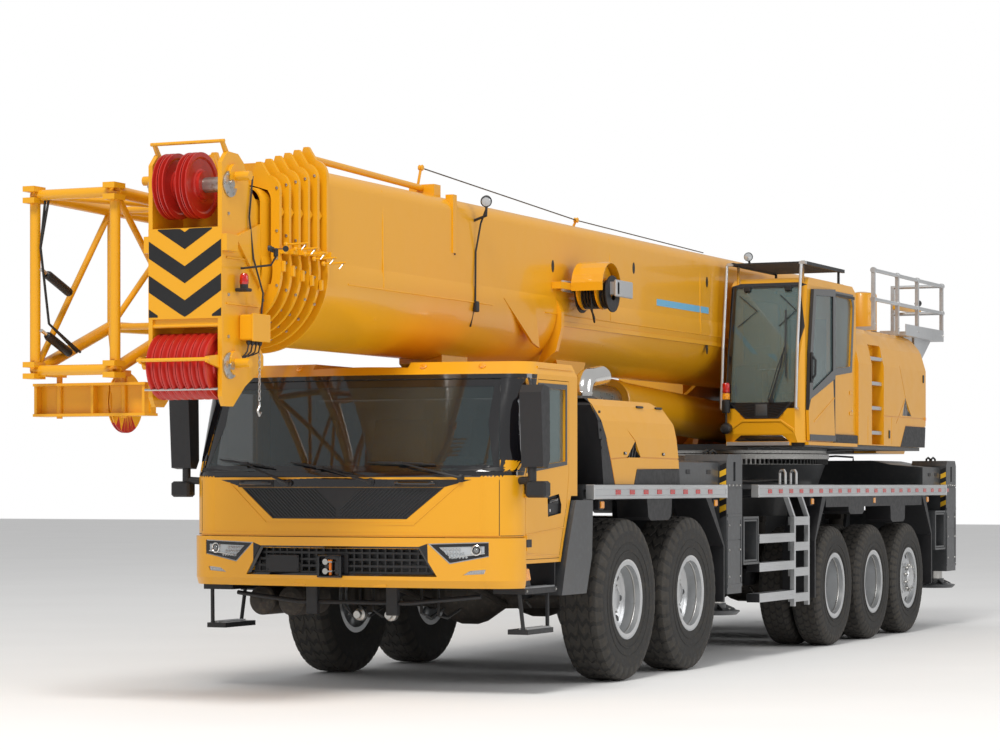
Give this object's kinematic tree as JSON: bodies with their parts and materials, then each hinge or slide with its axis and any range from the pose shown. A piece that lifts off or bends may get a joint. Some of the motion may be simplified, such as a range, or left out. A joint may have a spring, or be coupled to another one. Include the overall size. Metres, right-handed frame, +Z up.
{
  "type": "mobile crane",
  "caption": "Road-going telescopic crane: axled carrier with driving cab, outriggers, slewing superstructure with operator cab, telescopic boom and a lattice jib stowed at its side.",
  "frame": {"origin": "on the ground, under the middle of the overall length and width", "axes": "+X to the front of the carrier, +Y to its left, +Z up"},
  "size_m": [16.243, 3.35, 4.18],
  "materials": {
    "paint": "gloss yellow",
    "chassis": "satin dark grey",
    "steel": "machined",
    "alloy": "satin",
    "plastic": "matte black",
    "engine": "rough",
    "tank": "satin dark grey",
    "exhaust_steel": "polished",
    "glass": "dark tinted",
    "lamp": "clear",
    "trim": "grained",
    "sheave": "red",
    "wheel": "moulded rubber"
  },
  "bodies": {
    "carrier": {"chassis": "chassis", "slewing_ring": "steel", "decks": "chassis", "ladders": "alloy", "mudguards": "plastic", "engine_hood": "paint", "engine_block": "engine", "tanks": "tank", "exhaust": "exhaust_steel", "carrier_cab": "paint", "cab_windows": "glass", "cab_front": "paint", "lamps": "lamp", "cab_interior": "trim", "axle_beams": "chassis"},
    "door_left": {"cab_door_left": "paint"},
    "door_right": {"cab_door_right": "paint"},
    "steer_1_left": {"knuckle_1_left": "chassis"},
    "wheel_1_left": {"wheel_1_left": "wheel"},
    "steer_1_right": {"knuckle_1_right": "chassis"},
    "wheel_1_right": {"wheel_1_right": "wheel"},
    "steer_2_left": {"knuckle_2_left": "chassis"},
    "wheel_2_left": {"wheel_2_left": "wheel"},
    "steer_2_right": {"knuckle_2_right": "chassis"},
    "wheel_2_right": {"wheel_2_right": "wheel"},
    "wheel_3_left": {"wheel_3_left": "wheel"},
    "wheel_3_right": {"wheel_3_right": "wheel"},
    "wheel_4_left": {"wheel_4_left": "wheel"},
    "wheel_4_right": {"wheel_4_right": "wheel"},
    "steer_5_left": {"knuckle_5_left": "chassis"},
    "wheel_5_left": {"wheel_5_left": "wheel"},
    "steer_5_right": {"knuckle_5_right": "chassis"},
    "wheel_5_right": {"wheel_5_right": "wheel"},
    "outrigger_front_left": {"outrigger_front_left": "chassis"},
    "jack_front_left": {"jack_front_left": "steel"},
    "outrigger_front_right": {"outrigger_front_right": "chassis"},
    "jack_front_right": {"jack_front_right": "steel"},
    "outrigger_rear_left": {"outrigger_rear_left": "chassis"},
    "jack_rear_left": {"jack_rear_left": "steel"},
    "outrigger_rear_right": {"outrigger_rear_right": "chassis"},
    "jack_rear_right": {"jack_rear_right": "steel"},
    "upper": {"turntable": "paint", "machinery_house": "paint", "platform": "alloy", "counterweight": "paint", "operator_cab": "paint", "operator_windows": "glass", "operator_seat": "trim"},
    "winch": {"winch_drum": "steel"},
    "boom": {"boom_base": "paint", "lattice_jib": "paint"},
    "section_2": {"boom_section_2": "paint"},
    "section_3": {"boom_section_3": "paint"},
    "section_4": {"boom_section_4": "paint"},
    "section_5": {"boom_section_5": "paint"},
    "section_6": {"boom_section_6": "paint"},
    "section_7": {"boom_section_7": "paint", "head_sheaves": "sheave"},
    "cylinder": {"lift_barrel": "paint"},
    "rod": {"lift_rod": "steel"}
  },
  "joints": [
    {"name": "cab_door_left_hinge", "type": "hinge", "parent": "carrier", "child": "door_left", "pos_m": [5.258, 1.462, 1.4], "axis": [0, 0, -1], "range_deg": [0, 70]},
    {"name": "cab_door_right_hinge", "type": "hinge", "parent": "carrier", "child": "door_right", "pos_m": [5.258, -1.462, 1.4], "axis": [0, 0, 1], "range_deg": [0, 70]},
    {"name": "steer_1_left_pivot", "type": "hinge", "parent": "carrier", "child": "steer_1_left", "pos_m": [3.165, 1, 0.685], "axis": [0, 0, 1], "range_deg": [-35, 35]},
    {"name": "wheel_1_left_spin", "type": "hinge", "parent": "steer_1_left", "child": "wheel_1_left", "pos_m": [3.165, 1.3, 0.685], "axis": [0, 1, 0], "continuous": true},
    {"name": "steer_1_right_pivot", "type": "hinge", "parent": "carrier", "child": "steer_1_right", "pos_m": [3.165, -1, 0.685], "axis": [0, 0, 1], "range_deg": [-35, 35]},
    {"name": "wheel_1_right_spin", "type": "hinge", "parent": "steer_1_right", "child": "wheel_1_right", "pos_m": [3.165, -1.3, 0.685], "axis": [0, 1, 0], "continuous": true},
    {"name": "steer_2_left_pivot", "type": "hinge", "parent": "carrier", "child": "steer_2_left", "pos_m": [1.645, 1, 0.685], "axis": [0, 0, 1], "range_deg": [-28, 28]},
    {"name": "wheel_2_left_spin", "type": "hinge", "parent": "steer_2_left", "child": "wheel_2_left", "pos_m": [1.645, 1.3, 0.685], "axis": [0, 1, 0], "continuous": true},
    {"name": "steer_2_right_pivot", "type": "hinge", "parent": "carrier", "child": "steer_2_right", "pos_m": [1.645, -1, 0.685], "axis": [0, 0, 1], "range_deg": [-28, 28]},
    {"name": "wheel_2_right_spin", "type": "hinge", "parent": "steer_2_right", "child": "wheel_2_right", "pos_m": [1.645, -1.3, 0.685], "axis": [0, 1, 0], "continuous": true},
    {"name": "wheel_3_left_spin", "type": "hinge", "parent": "carrier", "child": "wheel_3_left", "pos_m": [-2.605, 1.3, 0.613], "axis": [0, 1, 0], "continuous": true},
    {"name": "wheel_3_right_spin", "type": "hinge", "parent": "carrier", "child": "wheel_3_right", "pos_m": [-2.605, -1.3, 0.613], "axis": [0, 1, 0], "continuous": true},
    {"name": "wheel_4_left_spin", "type": "hinge", "parent": "carrier", "child": "wheel_4_left", "pos_m": [-3.975, 1.3, 0.613], "axis": [0, 1, 0], "continuous": true},
    {"name": "wheel_4_right_spin", "type": "hinge", "parent": "carrier", "child": "wheel_4_right", "pos_m": [-3.975, -1.3, 0.613], "axis": [0, 1, 0], "continuous": true},
    {"name": "steer_5_left_pivot", "type": "hinge", "parent": "carrier", "child": "steer_5_left", "pos_m": [-5.325, 1, 0.613], "axis": [0, 0, 1], "range_deg": [-18, 18]},
    {"name": "wheel_5_left_spin", "type": "hinge", "parent": "steer_5_left", "child": "wheel_5_left", "pos_m": [-5.325, 1.3, 0.613], "axis": [0, 1, 0], "continuous": true},
    {"name": "steer_5_right_pivot", "type": "hinge", "parent": "carrier", "child": "steer_5_right", "pos_m": [-5.325, -1, 0.613], "axis": [0, 0, 1], "range_deg": [-18, 18]},
    {"name": "wheel_5_right_spin", "type": "hinge", "parent": "steer_5_right", "child": "wheel_5_right", "pos_m": [-5.325, -1.3, 0.613], "axis": [0, 1, 0], "continuous": true},
    {"name": "outrigger_front_left_slide", "type": "slide", "parent": "carrier", "child": "outrigger_front_left", "axis": [0, 1, 0], "range_m": [0, 1.95]},
    {"name": "jack_front_left_slide", "type": "slide", "parent": "outrigger_front_left", "child": "jack_front_left", "axis": [0, 0, -1], "range_m": [0, 0.43]},
    {"name": "outrigger_front_right_slide", "type": "slide", "parent": "carrier", "child": "outrigger_front_right", "axis": [0, -1, 0], "range_m": [0, 1.95]},
    {"name": "jack_front_right_slide", "type": "slide", "parent": "outrigger_front_right", "child": "jack_front_right", "axis": [0, 0, -1], "range_m": [0, 0.43]},
    {"name": "outrigger_rear_left_slide", "type": "slide", "parent": "carrier", "child": "outrigger_rear_left", "axis": [0, 1, 0], "range_m": [0, 1.95]},
    {"name": "jack_rear_left_slide", "type": "slide", "parent": "outrigger_rear_left", "child": "jack_rear_left", "axis": [0, 0, -1], "range_m": [0, 0.43]},
    {"name": "outrigger_rear_right_slide", "type": "slide", "parent": "carrier", "child": "outrigger_rear_right", "axis": [0, -1, 0], "range_m": [0, 1.95]},
    {"name": "jack_rear_right_slide", "type": "slide", "parent": "outrigger_rear_right", "child": "jack_rear_right", "axis": [0, 0, -1], "range_m": [0, 0.43]},
    {"name": "slew", "type": "hinge", "parent": "carrier", "child": "upper", "pos_m": [-3.735, 0, 2.03], "axis": [0, 0, 1], "continuous": true},
    {"name": "winch_spin", "type": "hinge", "parent": "upper", "child": "winch", "pos_m": [-6.865, 0, 2.96], "axis": [0, 1, 0], "continuous": true},
    {"name": "luff", "type": "hinge", "parent": "upper", "child": "boom", "pos_m": [-5.735, 0, 3.33], "axis": [0, -1, 0], "range_deg": [0, 82]},
    {"name": "telescope_2", "type": "slide", "parent": "boom", "child": "section_2", "axis": [1, 0, 0], "range_m": [0, 9.3]},
    {"name": "telescope_3", "type": "slide", "parent": "section_2", "child": "section_3", "axis": [1, 0, 0], "range_m": [0, 9.3]},
    {"name": "telescope_4", "type": "slide", "parent": "section_3", "child": "section_4", "axis": [1, 0, 0], "range_m": [0, 9.3]},
    {"name": "telescope_5", "type": "slide", "parent": "section_4", "child": "section_5", "axis": [1, 0, 0], "range_m": [0, 9.3]},
    {"name": "telescope_6", "type": "slide", "parent": "section_5", "child": "section_6", "axis": [1, 0, 0], "range_m": [0, 9.3]},
    {"name": "telescope_7", "type": "slide", "parent": "section_6", "child": "section_7", "axis": [1, 0, 0], "range_m": [0, 9.3]},
    {"name": "lift_barrel_pivot", "type": "hinge", "parent": "upper", "child": "cylinder", "pos_m": [-3.435, 0, 2.325], "axis": [0, -1, 0], "range_deg": [0, 92]},
    {"name": "lift_rod_slide", "type": "slide", "parent": "cylinder", "child": "rod", "axis": [0.9991, 0, 0.0435], "range_m": [0, 2.61]}
  ],
  "couplings": [
    {"joint": "steer_1_right_pivot", "follows": "steer_1_left_pivot", "ratio": 1},
    {"joint": "steer_2_left_pivot", "follows": "steer_1_left_pivot", "ratio": 0.8},
    {"joint": "steer_2_right_pivot", "follows": "steer_1_left_pivot", "ratio": 0.8},
    {"joint": "steer_5_right_pivot", "follows": "steer_5_left_pivot", "ratio": 1},
    {"joint": "telescope_3", "follows": "telescope_2", "ratio": 1},
    {"joint": "telescope_4", "follows": "telescope_2", "ratio": 1},
    {"joint": "telescope_5", "follows": "telescope_2", "ratio": 1},
    {"joint": "telescope_6", "follows": "telescope_2", "ratio": 1},
    {"joint": "telescope_7", "follows": "telescope_2", "ratio": 1},
    {"joint": "lift_barrel_pivot", "follows": "luff", "ratio": 1.12},
    {"joint": "lift_rod_slide", "follows": "luff", "m_per_rad": 1.82}
  ]
}
